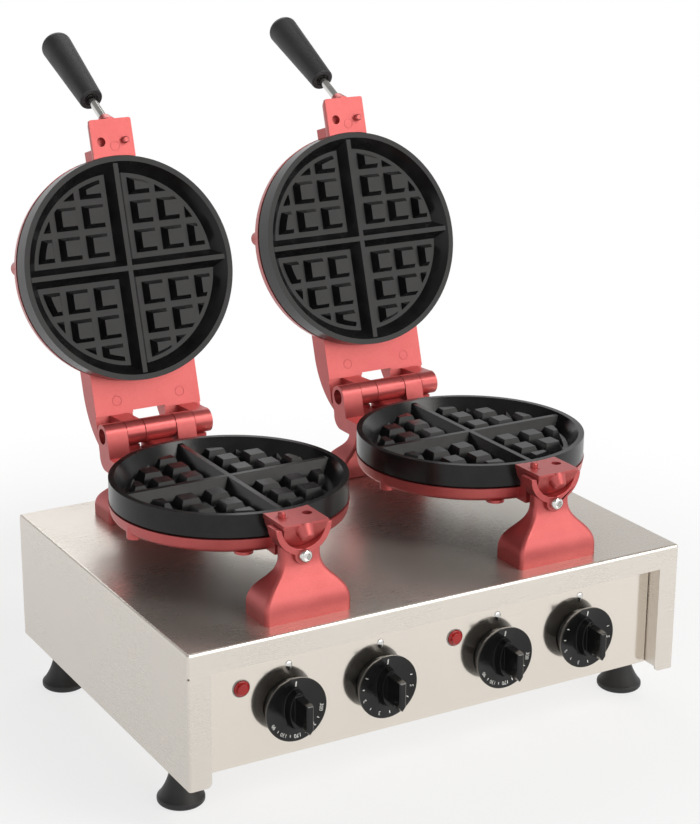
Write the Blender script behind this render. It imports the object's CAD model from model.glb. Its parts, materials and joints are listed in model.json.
import json
import math
import bpy
import bmesh
from mathutils import Matrix, Vector

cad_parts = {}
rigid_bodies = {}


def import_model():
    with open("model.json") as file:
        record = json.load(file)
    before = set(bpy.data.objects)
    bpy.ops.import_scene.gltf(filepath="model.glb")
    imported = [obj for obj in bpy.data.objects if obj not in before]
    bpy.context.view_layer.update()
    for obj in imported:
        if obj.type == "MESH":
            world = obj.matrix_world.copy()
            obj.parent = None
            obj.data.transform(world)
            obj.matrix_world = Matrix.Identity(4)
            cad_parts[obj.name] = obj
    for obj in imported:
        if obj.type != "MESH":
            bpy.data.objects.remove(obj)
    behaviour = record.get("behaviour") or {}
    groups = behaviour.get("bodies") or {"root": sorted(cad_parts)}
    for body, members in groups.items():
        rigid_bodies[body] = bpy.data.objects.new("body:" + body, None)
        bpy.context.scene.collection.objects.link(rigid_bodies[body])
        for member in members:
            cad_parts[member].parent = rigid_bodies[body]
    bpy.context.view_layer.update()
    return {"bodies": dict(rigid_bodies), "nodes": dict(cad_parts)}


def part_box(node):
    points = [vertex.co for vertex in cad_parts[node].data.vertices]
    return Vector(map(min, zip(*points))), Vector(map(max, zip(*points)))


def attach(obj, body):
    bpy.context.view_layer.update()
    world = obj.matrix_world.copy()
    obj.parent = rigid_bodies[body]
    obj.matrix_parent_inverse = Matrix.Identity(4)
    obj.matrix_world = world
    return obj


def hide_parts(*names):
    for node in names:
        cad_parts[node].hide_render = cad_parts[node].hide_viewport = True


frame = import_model()
nodes = frame["nodes"]
print("frame loaded,", len(nodes), "nodes")

sides = ("left", "right")
bodyOf = {node.name: bodyName for bodyName, empty in frame["bodies"].items()
          for node in nodes.values() if node.parent == empty}


# Materials: a few small helpers, then one function for each kind of finish

def newMaterial(name, **sockets):
    material = bpy.data.materials.new(name)
    material.use_nodes = True
    shader = shaderOf(material)
    for socket, value in sockets.items():
        shader.inputs[socket.replace("_", " ")].default_value = value
    return material


def shaderOf(material):
    return material.node_tree.nodes["Principled BSDF"]


def addNode(material, kind, **settings):
    node = material.node_tree.nodes.new(kind)
    for key, value in settings.items():
        setattr(node, key, value)
    return node


def connect(material, source, target):
    material.node_tree.links.new(source, target)


def objectPlace(material, scale=(1, 1, 1)):
    # object coordinates, stretched where a grain runs one way
    place = addNode(material, "ShaderNodeTexCoord")
    mapping = addNode(material, "ShaderNodeMapping")
    mapping.inputs["Scale"].default_value = scale
    connect(material, place.outputs["Object"], mapping.inputs["Vector"])
    return mapping.outputs["Vector"]


def noise(material, vector, scale, detail=3.0, roughness=0.5):
    texture = addNode(material, "ShaderNodeTexNoise")
    texture.inputs["Scale"].default_value = scale
    texture.inputs["Detail"].default_value = detail
    texture.inputs["Roughness"].default_value = roughness
    connect(material, vector, texture.inputs["Vector"])
    return texture.outputs["Fac"]


def spread(material, value, low, high, fromLow=0.3, fromHigh=0.7):
    # a number between low and high that follows the texture
    span = addNode(material, "ShaderNodeMapRange")
    span.inputs["From Min"].default_value = fromLow
    span.inputs["From Max"].default_value = fromHigh
    span.inputs["To Min"].default_value = low
    span.inputs["To Max"].default_value = high
    connect(material, value, span.inputs["Value"])
    return span.outputs["Result"]


def blendColours(material, value, low, high, fromLow=0.3, fromHigh=0.7):
    # a colour between low and high that follows the texture
    ramp = addNode(material, "ShaderNodeValToRGB")
    first, last = ramp.color_ramp.elements
    first.position, first.color = fromLow, (*low, 1)
    last.position, last.color = fromHigh, (*high, 1)
    connect(material, value, ramp.inputs["Fac"])
    return ramp.outputs["Color"]


def combine(material, operation, first, second):
    # arithmetic on two values, each a number or a socket
    mathNode = addNode(material, "ShaderNodeMath", operation=operation)
    for socket, value in zip(mathNode.inputs, (first, second)):
        if isinstance(value, float):
            socket.default_value = value
        else:
            connect(material, value, socket)
    return mathNode.outputs[0]


def addBump(material, height, strength, distance):
    bump = addNode(material, "ShaderNodeBump")
    bump.inputs["Strength"].default_value = strength
    bump.inputs["Distance"].default_value = distance
    connect(material, height, bump.inputs["Height"])
    connect(material, bump.outputs["Normal"], shaderOf(material).inputs["Normal"])


def paint(material, colour, roughness):
    connect(material, colour, shaderOf(material).inputs["Base Color"])
    connect(material, roughness, shaderOf(material).inputs["Roughness"])


sheetSteel = {
    "dark": (0.71, 0.662, 0.602), "pale": (0.745, 0.697, 0.637), "tones": (0.35, 0.65),
    "metallic": 0.78, "roughness": (0.27, 0.30), "smudge": 0.02,
    "grain": 1500.0, "stretch": 0.03, "cloud": 11.0,
}
panelSteel = {
    "dark": (0.78, 0.718, 0.642), "pale": (0.81, 0.748, 0.672), "tones": (0.35, 0.65),
    "metallic": 0.97, "roughness": (0.12, 0.14), "smudge": 0.01,
    "grain": 1500.0, "stretch": 0.03, "cloud": 11.0,
}
endFacing = 0.7  # faces that point along x more than this are on an end of the cabinet


def brushedSteel(name, settings):
    # a fine grain along x, or along y on the sheet's ends, over soft smudges
    material = newMaterial(name, Metallic=settings["metallic"])
    fine, slow = settings["grain"], settings["grain"] * settings["stretch"]
    along = noise(material, objectPlace(material, (slow, fine, fine)), 1.0, 2, 0.5)
    across = noise(material, objectPlace(material, (fine, slow, fine)), 1.0, 2, 0.5)
    geometry = addNode(material, "ShaderNodeNewGeometry")
    axes = addNode(material, "ShaderNodeSeparateXYZ")
    connect(material, geometry.outputs["True Normal"], axes.inputs["Vector"])
    sideways = combine(material, "ABSOLUTE", axes.outputs["X"], 0.0)
    onEnds = combine(material, "GREATER_THAN", sideways, endFacing)
    grain = addNode(material, "ShaderNodeMix")
    connect(material, onEnds, grain.inputs["Factor"])
    connect(material, along, grain.inputs["A"])
    connect(material, across, grain.inputs["B"])
    grainValue = grain.outputs["Result"]
    cloud = noise(material, objectPlace(material), settings["cloud"], 3, 0.55)
    smudge = settings["smudge"]
    rough = combine(material, "ADD", spread(material, grainValue, *settings["roughness"]),
                    spread(material, cloud, -smudge, smudge))
    both = combine(material, "ADD", combine(material, "MULTIPLY", grainValue, 0.5),
                   combine(material, "MULTIPLY", cloud, 0.5))
    paint(material, blendColours(material, both, settings["dark"], settings["pale"], *settings["tones"]),
          rough)
    return material


enamel = {
    "deep": (0.38, 0.050, 0.050), "bright": (0.63, 0.136, 0.130), "tones": (0.32, 0.68),
    "metallic": 0.55, "roughness": (0.32, 0.42), "coat": (0.12, 0.22),
    "flake": 3200.0, "drift": 26.0, "flakeShare": 0.65, "skin": 900.0, "bump": (0.08, 0.0005),
}


def satinEnamel(name, settings):
    # metallic paint: fine flakes over a slow drift of tone, on a cast skin
    coatWeight, coatRoughness = settings["coat"]
    material = newMaterial(name, Metallic=settings["metallic"], Coat_Weight=coatWeight,
                           Coat_Roughness=coatRoughness)
    place = objectPlace(material)
    flake = noise(material, place, settings["flake"], 2, 0.6)
    drift = noise(material, place, settings["drift"], 3, 0.5)
    flakeShare = settings["flakeShare"]
    both = combine(material, "ADD", combine(material, "MULTIPLY", flake, flakeShare),
                   combine(material, "MULTIPLY", drift, 1 - flakeShare))
    paint(material, blendColours(material, both, settings["deep"], settings["bright"], *settings["tones"]),
          spread(material, drift, *settings["roughness"]))
    addBump(material, noise(material, place, settings["skin"], 3, 0.55), *settings["bump"])
    return material


coating = {
    "deep": (0.008, 0.008, 0.0083), "worn": (0.016, 0.016, 0.0163), "roughness": (0.18, 0.26),
    "shine": 0.26, "cloud": 45.0, "skin": 1500.0, "bump": (0.10, 0.0003),
}


def nonStickCoating(name, settings):
    material = newMaterial(name, Specular_IOR_Level=settings["shine"])
    place = objectPlace(material)
    cloud = noise(material, place, settings["cloud"], 4, 0.55)
    paint(material, blendColours(material, cloud, settings["deep"], settings["worn"]),
          spread(material, cloud, *settings["roughness"]))
    addBump(material, noise(material, place, settings["skin"], 3, 0.6), *settings["bump"])
    return material


plasticSkin = {"cloud": 60.0, "lighter": 1.3, "lift": 0.003, "bumpDistance": 0.0003}


def mouldedPlastic(name, colour, roughness, grain=1400.0, bump=0.15, **sockets):
    material = newMaterial(name, **sockets)
    place = objectPlace(material)
    cloud = noise(material, place, plasticSkin["cloud"], 3, 0.5)
    lighter = tuple(min(1.0, part * plasticSkin["lighter"] + plasticSkin["lift"]) for part in colour)
    paint(material, blendColours(material, cloud, colour, lighter), spread(material, cloud, *roughness))
    addBump(material, noise(material, place, grain, 3, 0.6), bump, plasticSkin["bumpDistance"])
    return material


metalSkin = {"smudge": 120.0, "lighter": 1.12}


def polishedMetal(name, colour, roughness):
    material = newMaterial(name, Metallic=1.0)
    smudge = noise(material, objectPlace(material), metalSkin["smudge"], 3, 0.5)
    lighter = tuple(min(1.0, part * metalSkin["lighter"]) for part in colour)
    paint(material, blendColours(material, smudge, colour, lighter), spread(material, smudge, *roughness))
    return material


stainless = brushedSteel("brushedStainless", sheetSteel)
panelStainless = brushedSteel("panelStainless", panelSteel)
coral = satinEnamel("coralEnamel", enamel)
nonStick = nonStickCoating("nonStickCoating", coating)
chrome = polishedMetal("polishedChrome", (0.62, 0.61, 0.59), (0.10, 0.20))
dullSteel = polishedMetal("dullSteel", (0.38, 0.37, 0.36), (0.30, 0.45))
rubber = mouldedPlastic("footRubber", (0.010, 0.010, 0.010), (0.45, 0.58), 900.0, 0.2)
knobBlack = mouldedPlastic("knobBlack", (0.004, 0.004, 0.004), (0.12, 0.20), 300.0, 0.02,
                           Specular_IOR_Level=0.35)
gripBlack = mouldedPlastic("gripBlack", (0.016, 0.016, 0.017), (0.45, 0.55), 1800.0, 0.2)
blackPlastic = mouldedPlastic("blackPlastic", (0.018, 0.018, 0.018), (0.40, 0.50))
whitePlastic = mouldedPlastic("whitePlastic", (0.72, 0.72, 0.70), (0.35, 0.45))
whiteInk = mouldedPlastic("whiteInk", (0.72, 0.72, 0.70), (0.40, 0.50), 1400.0, 0.02)
lampRed = mouldedPlastic("lampRed", (0.32, 0.005, 0.005), (0.10, 0.16), 400.0, 0.03)
bareUnderside = mouldedPlastic("darkUnderside", (0.020, 0.018, 0.017), (0.55, 0.70), 700.0, 0.3)
print("materials made")


# Pieces made from CAD nodes: merged, cleaned and given softened edges
mergeDistance = 0.000005
flatAngle = 0.5  # facets that meet at less than this many degrees become one face


def ridePiece(piece, nodeName, material):
    piece.data.materials.clear()
    piece.data.materials.append(material)
    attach(piece, bodyOf[nodeName])
    return piece


def linkPiece(name, work):
    mesh = bpy.data.meshes.new(name)
    work.to_mesh(mesh)
    work.free()
    piece = bpy.data.objects.new(name, mesh)
    bpy.context.scene.collection.objects.link(piece)
    return piece


def nameFor(nodeName, addition=""):
    # front_stand_left becomes frontStandLeft, and timer_knob_left with marks timerMarksLeft
    words = nodeName.split("_")
    if addition:
        words = [words[0], addition, words[-1]]
    return words[0] + "".join(word.capitalize() for word in words[1:])


def middleOf(box):
    return (box[0] + box[1]) / 2


def smoothFaces(work):
    for face in work.faces:
        face.smooth = True


def cleanCopy(nodeName, pieceName):
    work = bmesh.new()
    work.from_mesh(nodes[nodeName].data)
    bmesh.ops.remove_doubles(work, verts=work.verts, dist=mergeDistance)
    bmesh.ops.dissolve_limit(work, angle_limit=math.radians(flatAngle), verts=work.verts,
                             edges=work.edges)
    return linkPiece(pieceName, work)


def soften(piece, width, segments, sharpAngle=32):
    bevel = piece.modifiers.new("softEdges", "BEVEL")
    bevel.width = width
    bevel.segments = segments
    bevel.limit_method = "ANGLE"
    bevel.angle_limit = math.radians(sharpAngle)
    bevel.use_clamp_overlap = True
    for polygon in piece.data.polygons:
        polygon.use_smooth = True
    weighted = piece.modifiers.new("evenNormals", "WEIGHTED_NORMAL")
    weighted.keep_sharp = True
    return piece


# Node stem: width of its soft edge in metres, segments, slot and finish
softEdges = {
    "front_stand": (0.0014, 3, "coral_enamel", coral),
    "rear_stand": (0.0014, 3, "coral_enamel", coral),
    "stand_clip": (0.0008, 2, "coral_enamel", coral),
    "lower_casting": (0.0010, 3, "coral_enamel", coral),
    "upper_casting": (0.0010, 3, "coral_enamel", coral),
    "hinge_spacer": (0.0006, 2, "coral_enamel", coral),
    "lower_plate": (0.0012, 3, "non_stick_coating", nonStick),
    "upper_plate": (0.0012, 3, "non_stick_coating", nonStick),
    "thermostat_knob": (0.0007, 3, "knob_black", knobBlack),
    "timer_knob": (0.0007, 3, "knob_black", knobBlack),
    "handle_rod": (0.0004, 2, "chrome_steel", chrome),
    "handle_grip": (0.0008, 2, "grip_black", gripBlack),
    "hinge_pin": (0.0005, 2, "chrome_steel", chrome),
    "pilot_lens": (0.0003, 2, "lamp_red", lampRed),
    "upper_plate_screws": (0.0004, 2, "chrome_steel", chrome),
}
softSingles = {
    "clip_screws": (0.0003, 2, "chrome_steel", chrome),
    "body_shell": (0.0003, 2, "stainless_sheet", stainless),
    "front_panel": (0.0003, 2, "stainless_sheet", panelStainless),
}
softNodes = {stem + "_" + side: settings for stem, settings in softEdges.items() for side in sides}
softNodes.update(softSingles)
for stem in ("foot_front", "foot_rear"):
    for side in sides:
        softNodes[stem + "_" + side] = (0.0008, 2, "black_rubber", rubber)
for nodeName, (width, segments, slotName, material) in softNodes.items():
    piece = cleanCopy(nodeName, nameFor(nodeName))
    ridePiece(soften(piece, width, segments), nodeName, material)
    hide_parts(nodeName)
print("visible nodes given soft edges:", len(softNodes))

# The dish of each lower casting is left dark below, where only the sheet under it mirrors it
underside = {"reach": 0.0985, "facing": -0.9}
for side in sides:
    piece = bpy.data.objects["lowerCasting" + side.capitalize()]
    piece.data.materials.append(bareUnderside)
    middle = middleOf(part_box("lower_plate_" + side))
    for polygon in piece.data.polygons:
        away = polygon.center - middle
        if polygon.normal.z < underside["facing"] and math.hypot(away.x, away.y) < underside["reach"]:
            polygon.material_index = 1

# Plain nodes keep their shape and take a finish
finishes = {
    "rear_panel": stainless, "bottom_plate": stainless, "cable_gland": blackPlastic,
    "terminal_block": whitePlastic, "foot_screws": chrome, "panel_screws": chrome,
    "stand_bolts": chrome, "lower_plate_screws": chrome,
}
perSide = {
    "pilot_body": blackPlastic, "thermostat": dullSteel, "timer": blackPlastic,
    "thermostat_spindle": dullSteel, "timer_spindle": dullSteel, "lower_element": dullSteel,
    "upper_element": dullSteel,
}
for stem, material in perSide.items():
    for side in sides:
        finishes[stem + "_" + side] = material
for nodeName, material in finishes.items():
    mesh = nodes[nodeName].data
    mesh.materials.clear()
    mesh.materials.append(material)
print("plain nodes finished:", len(finishes))


# Printed dials: numbers and ticks on the sloping face of each knob, angles anticlockwise from the top
dial = {
    "panelGap": 0.001, "skirt": 0.0125, "rim": 0.0275, "slope": 0.2182, "radius": 0.0232,
    "numberSize": 0.0046, "ink": 0.00004, "tick": (0.0007, 0.0022),
    "zeroLine": (0.0011, 0.0050), "zeroRadius": 0.0222,
}
thermostatDial = {
    "numbers": {"90": 118, "130": 150, "170": 183, "210": 219, "300": 262},
    "ticks": (134, 166, 201, 240),
}
timerDial = {
    "numbers": {"1": 60, "2": 110, "3": 160, "4": 210, "5": 260},
    "ticks": (85, 135, 185, 235, 285),
}
dialHeight = dial["skirt"] + dial["ink"] * 0.5
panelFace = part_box("front_panel")[0].y


def frontPlace(x, y, z):
    # local x to the right, local y up, local z out of the panel
    return Matrix.Translation((x, y, z)) @ Matrix.Rotation(math.radians(90), 4, "X")


def knobAxis(nodeName):
    # the middle of the spindle, where the knob meets the panel
    axis = middleOf(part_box(nodeName.replace("_knob", "_spindle")))
    return frontPlace(axis.x, panelFace - dial["panelGap"], axis.z)


def onDial(angle, radius):
    # place on the dial's slope, its local y pointing outwards from the centre
    turn = Matrix.Rotation(math.radians(angle), 4, "Z")
    drop = -(dial["rim"] - radius) * dial["slope"]
    tilt = Matrix.Rotation(math.atan(dial["slope"]), 4, "X")
    return turn @ Matrix.Translation((0, radius, drop)) @ tilt


def numberMesh(text, size):
    curve = bpy.data.curves.new("number", "FONT")
    curve.body = text
    curve.size = size
    curve.align_x, curve.align_y = "CENTER", "CENTER"
    curve.extrude = dial["ink"]
    curve.resolution_u = 3
    holder = bpy.data.objects.new("number", curve)
    mesh = bpy.data.meshes.new_from_object(holder)
    bpy.data.objects.remove(holder)
    bpy.data.curves.remove(curve)
    return mesh


def addBar(work, place, width, height):
    made = bmesh.ops.create_cube(work, size=1.0)["verts"]
    bmesh.ops.scale(work, vec=(width, height, dial["ink"] * 2), verts=made)
    bmesh.ops.transform(work, matrix=place, verts=made)


def dialMarks(nodeName, settings):
    face = knobAxis(nodeName) @ Matrix.Translation((0, 0, dialHeight))
    work = bmesh.new()
    for text, angle in settings["numbers"].items():
        mesh = numberMesh(text, dial["numberSize"])
        mesh.transform(face @ onDial(angle, dial["radius"]))
        work.from_mesh(mesh)
        bpy.data.meshes.remove(mesh)
    for angle in settings["ticks"]:
        addBar(work, face @ onDial(angle, dial["radius"]), *dial["tick"])
    addBar(work, face @ onDial(0, dial["zeroRadius"]), *dial["zeroLine"])
    bmesh.ops.recalc_face_normals(work, faces=work.faces)
    piece = linkPiece(nameFor(nodeName, "marks"), work)
    return ridePiece(piece, nodeName, whiteInk)


for side in sides:
    dialMarks("thermostat_knob_" + side, thermostatDial)
    dialMarks("timer_knob_" + side, timerDial)
print("dials printed")

# Embossed drop above each knob, and the bright ring round each lamp
marker = {
    "aboveKnob": 0.0334, "width": 0.0060, "height": 0.0088, "rise": 0.0012,
    "point": 0.55, "swell": 0.9, "crown": 0.35, "lift": 0.00002,
}


def pointerDrop(knobName):
    axis = middleOf(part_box(knobName.replace("_knob", "_spindle")))
    work = bmesh.new()
    drop = bmesh.ops.create_uvsphere(work, u_segments=28, v_segments=14, radius=0.5)["verts"]
    for vert in drop:
        # a round top that draws in to a point below
        swell = marker["swell"] * max(0.0, vert.co.y + 0.5)
        vert.co.x *= marker["point"] + swell * (1.0 - marker["crown"] * max(0.0, vert.co.y))
    bmesh.ops.scale(work, vec=(marker["width"], marker["height"], marker["rise"] * 2), verts=drop)
    bmesh.ops.bisect_plane(work, geom=work.verts[:] + work.edges[:] + work.faces[:],
                           plane_co=(0, 0, marker["lift"]), plane_no=(0, 0, 1), clear_inner=True)
    place = frontPlace(axis.x, panelFace, axis.z + marker["aboveKnob"])
    bmesh.ops.transform(work, matrix=place, verts=work.verts)
    smoothFaces(work)
    piece = linkPiece(nameFor(knobName, "pointer"), work)
    return ridePiece(piece, "front_panel", chrome)


bezel = {
    "inner": 0.0070, "outer": 0.0079, "rise": 0.0009, "lift": 0.00005, "outerSlope": 0.4,
    "innerSlope": 0.3,
}
ringSteps = 40


def turnedRing(section):
    # a closed section of (radius, height) points, turned once round local z
    work = bmesh.new()
    points = [work.verts.new((radius, 0, height)) for radius, height in section]
    edges = [work.edges.new(pair) for pair in zip(points, points[1:] + points[:1])]
    bmesh.ops.spin(work, geom=points + edges, cent=(0, 0, 0), axis=(0, 0, 1), angle=math.tau,
                   steps=ringSteps, use_merge=True)
    bmesh.ops.remove_doubles(work, verts=work.verts, dist=mergeDistance)
    bmesh.ops.recalc_face_normals(work, faces=work.faces)
    return work


def lampBezel(side):
    centre = middleOf(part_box("pilot_lens_" + side))
    inner, outer, rise, lift = bezel["inner"], bezel["outer"], bezel["rise"], bezel["lift"]
    work = turnedRing([(outer, lift), (outer - rise * bezel["outerSlope"], rise),
                       (inner + rise * bezel["innerSlope"], rise), (inner, lift)])
    bmesh.ops.transform(work, matrix=frontPlace(centre.x, panelFace, centre.z), verts=work.verts)
    smoothFaces(work)
    piece = linkPiece("lampBezel" + side.capitalize(), work)
    return ridePiece(piece, "front_panel", dullSteel)


for side in sides:
    pointerDrop("thermostat_knob_" + side)
    pointerDrop("timer_knob_" + side)
    lampBezel(side)
print("pointers and lamp rings placed")


# Ejector marks on the lids' brackets and lugs, and the ring at the foot of each locating pin
castMarks = {
    "matingHeight": 0.00025, "hinge": (0.0, 0.1475, -0.0023), "openAngle": 106.5,
    "faceHeight": 0.02155, "bracketMarks": ((-0.0240, 0.1185), (0.0396, 0.1185)),
    "lugMark": (0.0016, -0.1115), "ring": (0.0040, 0.0047, 0.00018),
    "pin": (-0.0115, -0.1160), "pinRing": (0.0034, 0.0052, 0.0003), "shoulder": 0.6,
}


def ringPiece(name, rings, nodeName):
    # low rings that stand on a face, local z out of the face
    piece = bmesh.new()
    for place, (inner, outer, rise) in rings:
        shoulder = rise * castMarks["shoulder"]
        work = turnedRing([(outer, -rise), (outer, shoulder), (outer - rise, rise), (inner + rise, rise),
                           (inner, shoulder), (inner, -rise)])
        bmesh.ops.transform(work, matrix=place, verts=work.verts)
        mesh = bpy.data.meshes.new("ring")
        work.to_mesh(mesh)
        work.free()
        piece.from_mesh(mesh)
        bpy.data.meshes.remove(mesh)
    smoothFaces(piece)
    return ridePiece(linkPiece(name, piece), nodeName, coral)


def ironPlace(side):
    # the centre of the mating plane between the plates of one iron
    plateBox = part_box("lower_plate_" + side)
    middle = middleOf(plateBox)
    return Matrix.Translation((middle.x, middle.y, plateBox[1].z + castMarks["matingHeight"]))


for side in sides:
    hinge = Matrix.Translation(castMarks["hinge"])
    opened = Matrix.Rotation(math.radians(-castMarks["openAngle"]), 4, "X")
    lid = ironPlace(side) @ hinge @ opened @ hinge.inverted()
    faceDown = Matrix.Rotation(math.pi, 4, "X")
    marks = [(*mark, castMarks["faceHeight"]) for mark in castMarks["bracketMarks"]]
    marks.append((*castMarks["lugMark"], castMarks["matingHeight"]))
    rings = [(lid @ Matrix.Translation(mark) @ faceDown, castMarks["ring"]) for mark in marks]
    ringPiece("lidMarks" + side.capitalize(), rings, "upper_casting_" + side)
    pinPlace = ironPlace(side) @ Matrix.Translation((*castMarks["pin"], -castMarks["matingHeight"]))
    ringPiece("pinRing" + side.capitalize(), [(pinPlace, castMarks["pinRing"])], "lower_casting_" + side)
print("cast marks placed")


# Camera, floor and light
cameraSettings = {
    "x": -0.83329, "fromCabinetMiddle": -1.43528, "z": 0.79428, "turn": (72.4798, 0.3562, -28.2916),
    "lens": 86.237, "sensor": 36.0, "shift": (0.0880, -0.0081), "farEnd": 60.0,
}
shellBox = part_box("body_shell")
camera = bpy.data.objects.new("camera", bpy.data.cameras.new("camera"))
bpy.context.scene.collection.objects.link(camera)
cabinetMiddle = (shellBox[0].y + shellBox[1].y) / 2
camera.location = (cameraSettings["x"], cabinetMiddle + cameraSettings["fromCabinetMiddle"],
                   cameraSettings["z"])
camera.rotation_euler = [math.radians(angle) for angle in cameraSettings["turn"]]
camera.data.lens = cameraSettings["lens"]
camera.data.sensor_width = cameraSettings["sensor"]
camera.data.shift_x, camera.data.shift_y = cameraSettings["shift"]
camera.data.clip_end = cameraSettings["farEnd"]
bpy.context.scene.camera = camera

studio = {
    "floorSize": 12.0, "floor": (0.90, 0.90, 0.90), "wash": 0.75, "fadeFrom": 0.30, "fadeTo": 0.80,
    "world": 0.45, "overhead": (0.30, 0.295, 0.29), "ceilingFrom": 0.22, "ceilingTo": 0.55,
}


def seenDirectly(tree):
    # 1 for the camera and for what metal and glass show, 0 for the light that falls on things
    path = tree.nodes.new("ShaderNodeLightPath")
    value = path.outputs["Is Camera Ray"]
    for name in ("Is Glossy Ray", "Is Transmission Ray"):
        larger = tree.nodes.new("ShaderNodeMath")
        larger.operation = "MAXIMUM"
        tree.links.new(value, larger.inputs[0])
        tree.links.new(path.outputs[name], larger.inputs[1])
        value = larger.outputs[0]
    return value


floorMesh = bmesh.new()
bmesh.ops.create_grid(floorMesh, x_segments=1, y_segments=1, size=studio["floorSize"])
floor = linkPiece("studioFloor", floorMesh)
floorMaterial = newMaterial("paleFloor", Base_Color=(*studio["floor"], 1), Roughness=1.0,
                            Specular_IOR_Level=0.0)
floor.data.materials.append(floorMaterial)
floorTree = floorMaterial.node_tree
reach = addNode(floorMaterial, "ShaderNodeVectorMath", operation="LENGTH")
connect(floorMaterial, objectPlace(floorMaterial), reach.inputs[0])
fade = addNode(floorMaterial, "ShaderNodeMapRange", interpolation_type="SMOOTHSTEP")
fade.inputs["From Min"].default_value = studio["fadeFrom"]
fade.inputs["From Max"].default_value = studio["fadeTo"]
fade.inputs["To Min"].default_value = studio["wash"]
connect(floorMaterial, reach.outputs["Value"], fade.inputs["Value"])
share = combine(floorMaterial, "MULTIPLY", fade.outputs["Result"], seenDirectly(floorTree))
white = addNode(floorMaterial, "ShaderNodeEmission")
blend = addNode(floorMaterial, "ShaderNodeMixShader")
connect(floorMaterial, share, blend.inputs["Fac"])
connect(floorMaterial, shaderOf(floorMaterial).outputs["BSDF"], blend.inputs[1])
connect(floorMaterial, white.outputs["Emission"], blend.inputs[2])
connect(floorMaterial, blend.outputs["Shader"], floorTree.nodes["Material Output"].inputs["Surface"])

world = bpy.data.worlds.new("studioWorld")
bpy.context.scene.world = world
world.use_nodes = True
worldNodes, worldLinks = world.node_tree.nodes, world.node_tree.links
worldNodes.clear()
background = worldNodes.new("ShaderNodeBackground")
strength = worldNodes.new("ShaderNodeMapRange")
strength.inputs["To Min"].default_value = studio["world"]
strength.inputs["To Max"].default_value = 1.0
worldLinks.new(seenDirectly(world.node_tree), strength.inputs["Value"])
worldLinks.new(strength.outputs["Result"], background.inputs["Strength"])
# white to well above the horizon, greyer overhead, as under a dark studio ceiling
direction = worldNodes.new("ShaderNodeTexCoord")
upward = worldNodes.new("ShaderNodeSeparateXYZ")
ceiling = worldNodes.new("ShaderNodeValToRGB")
lower, upper = ceiling.color_ramp.elements
lower.position, lower.color = studio["ceilingFrom"], (1, 1, 1, 1)
upper.position, upper.color = studio["ceilingTo"], (*studio["overhead"], 1)
worldLinks.new(direction.outputs["Generated"], upward.inputs["Vector"])
worldLinks.new(upward.outputs["Z"], ceiling.inputs["Fac"])
worldLinks.new(ceiling.outputs["Color"], background.inputs["Color"])
worldOut = worldNodes.new("ShaderNodeOutputWorld")
worldLinks.new(background.outputs["Background"], worldOut.inputs["Surface"])

lightsAim = (0, 0, 0.25)
lights = {
    "frontLight": {"place": (1.2, -3.0, 1.35), "size": 3.0, "power": 54.0, "colour": (1.0, 0.975, 0.94)},
    "keyLight": {"place": (1.3, -1.7, 2.5), "size": 1.1, "power": 30.0, "colour": (1.0, 0.98, 0.95)},
    "fillLight": {"place": (-1.9, -1.7, 1.2), "size": 0.8, "power": 2.5, "colour": (0.96, 0.98, 1.0)},
    "backLight": {"place": (0.5, 1.9, 2.0), "size": 1.5, "power": 18.0, "colour": (1.0, 1.0, 1.0)},
}
for lightName, settings in lights.items():
    lamp = bpy.data.lights.new(lightName, "AREA")
    lamp.shape = "SQUARE"
    lamp.size = settings["size"]
    lamp.energy = settings["power"]
    lamp.color = settings["colour"]
    light = bpy.data.objects.new(lightName, lamp)
    bpy.context.scene.collection.objects.link(light)
    light.location = settings["place"]
    aim = Vector(lightsAim) - Vector(settings["place"])
    light.rotation_euler = aim.to_track_quat("-Z", "Y").to_euler()
bpy.context.scene.view_settings.view_transform = "Standard"
print("camera, floor and lights placed")
